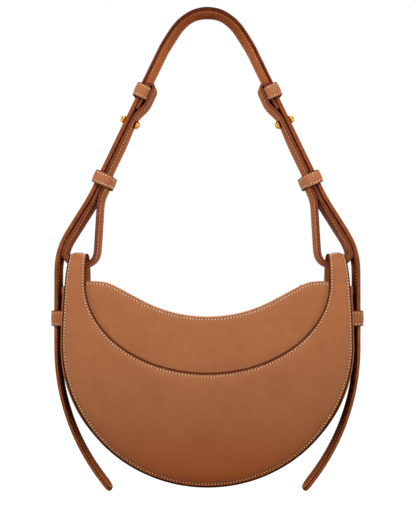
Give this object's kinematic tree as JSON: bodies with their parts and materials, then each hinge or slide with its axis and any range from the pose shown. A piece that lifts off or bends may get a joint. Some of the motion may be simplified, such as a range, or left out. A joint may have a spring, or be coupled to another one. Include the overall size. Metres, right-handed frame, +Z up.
{
  "type": "half moon shoulder bag",
  "caption": "Half moon leather shoulder bag: crescent front panel whose horns fold over strap loops, adjustable stitched strap with keepers and studs, zipped mouth and lined inside.",
  "frame": {"origin": "middle of the underside of the strap arch, where a shoulder or hook carries the bag", "axes": "+Z up, -Y towards the front with the crescent panel, +X to the right seen from the front"},
  "size_m": [0.2746, 0.0592, 0.4291],
  "materials": {
    "leather": "smooth full-grain, satin",
    "strap_leather": "smooth full-grain, painted edges",
    "lining": "suede-like microfibre",
    "padding": "thin felt wadding",
    "board": "bonded fibre board",
    "gilt_metal": "polished gilt",
    "zip_fabric": "woven tape"
  },
  "bodies": {
    "handle": {"main_strap": "strap_leather", "left_loop_strap": "strap_leather", "left_upper_keeper": "leather", "left_stud_post": "gilt_metal", "right_loop_strap": "strap_leather", "right_upper_keeper": "leather", "right_stud_post": "gilt_metal"},
    "bag": {"front_crescent_panel": "leather", "front_yoke_panel": "leather", "crescent_padding": "padding", "back_panel": "leather", "gusset": "leather", "base_stiffener": "board", "gusset_lining": "lining", "front_lining": "lining", "back_lining": "lining", "slip_pocket": "lining", "zip_tape_front": "zip_fabric", "zip_tape_back": "zip_fabric", "zip_teeth_front": "gilt_metal", "zip_teeth_back": "gilt_metal", "left_zip_tab": "leather", "right_zip_tab": "leather", "left_strap_run": "strap_leather", "right_strap_run": "strap_leather", "left_side_keeper": "leather", "right_side_keeper": "leather"},
    "slider": {"zip_slider": "gilt_metal"},
    "pull": {"zip_pull": "gilt_metal"},
    "left_tail": {"left_strap_tail": "strap_leather"},
    "left_keeper": {"left_lower_keeper": "leather"},
    "left_cap": {"left_stud_cap": "gilt_metal"},
    "right_tail": {"right_strap_tail": "strap_leather"},
    "right_keeper": {"right_lower_keeper": "leather"},
    "right_cap": {"right_stud_cap": "gilt_metal"}
  },
  "joints": [
    {"name": "bag_swing", "type": "hinge", "parent": "handle", "child": "bag", "pos_m": [0, 0, -0.2298], "axis": [1, 0, 0], "range_deg": [-60, 60]},
    {"name": "zip_travel", "type": "hinge", "parent": "bag", "child": "slider", "pos_m": [0, 0, -0.1285], "axis": [0, 1, 0], "range_deg": [0, 69], "deforming": ["zip_tape_front", "zip_tape_back", "zip_teeth_front", "zip_teeth_back"]},
    {"name": "pull_flip", "type": "hinge", "parent": "slider", "child": "pull", "pos_m": [0.08388, 0, -0.24394], "axis": [0, 1, 0], "range_deg": [0, 165]},
    {"name": "left_tail_swing", "type": "hinge", "parent": "bag", "child": "left_tail", "pos_m": [-0.1335, 0, -0.2805], "axis": [0, 1, 0], "range_deg": [0, 35], "stiffness_Nm_per_rad": 0.04},
    {"name": "left_keeper_slide", "type": "slide", "parent": "handle", "child": "left_keeper", "axis": [0.436, 0, 0.8999], "range_m": [0, 0.03]},
    {"name": "left_cap_turn", "type": "hinge", "parent": "handle", "child": "left_cap", "pos_m": [-0.07077, 0, -0.09561], "axis": [0.8999, 0, -0.436], "continuous": true},
    {"name": "right_tail_swing", "type": "hinge", "parent": "bag", "child": "right_tail", "pos_m": [0.1335, 0, -0.2805], "axis": [0, -1, 0], "range_deg": [0, 35], "stiffness_Nm_per_rad": 0.04},
    {"name": "right_keeper_slide", "type": "slide", "parent": "handle", "child": "right_keeper", "axis": [-0.436, 0, 0.8999], "range_m": [0, 0.03]},
    {"name": "right_cap_turn", "type": "hinge", "parent": "handle", "child": "right_cap", "pos_m": [0.07077, 0, -0.09561], "axis": [0.8999, 0, 0.436], "continuous": true}
  ]
}
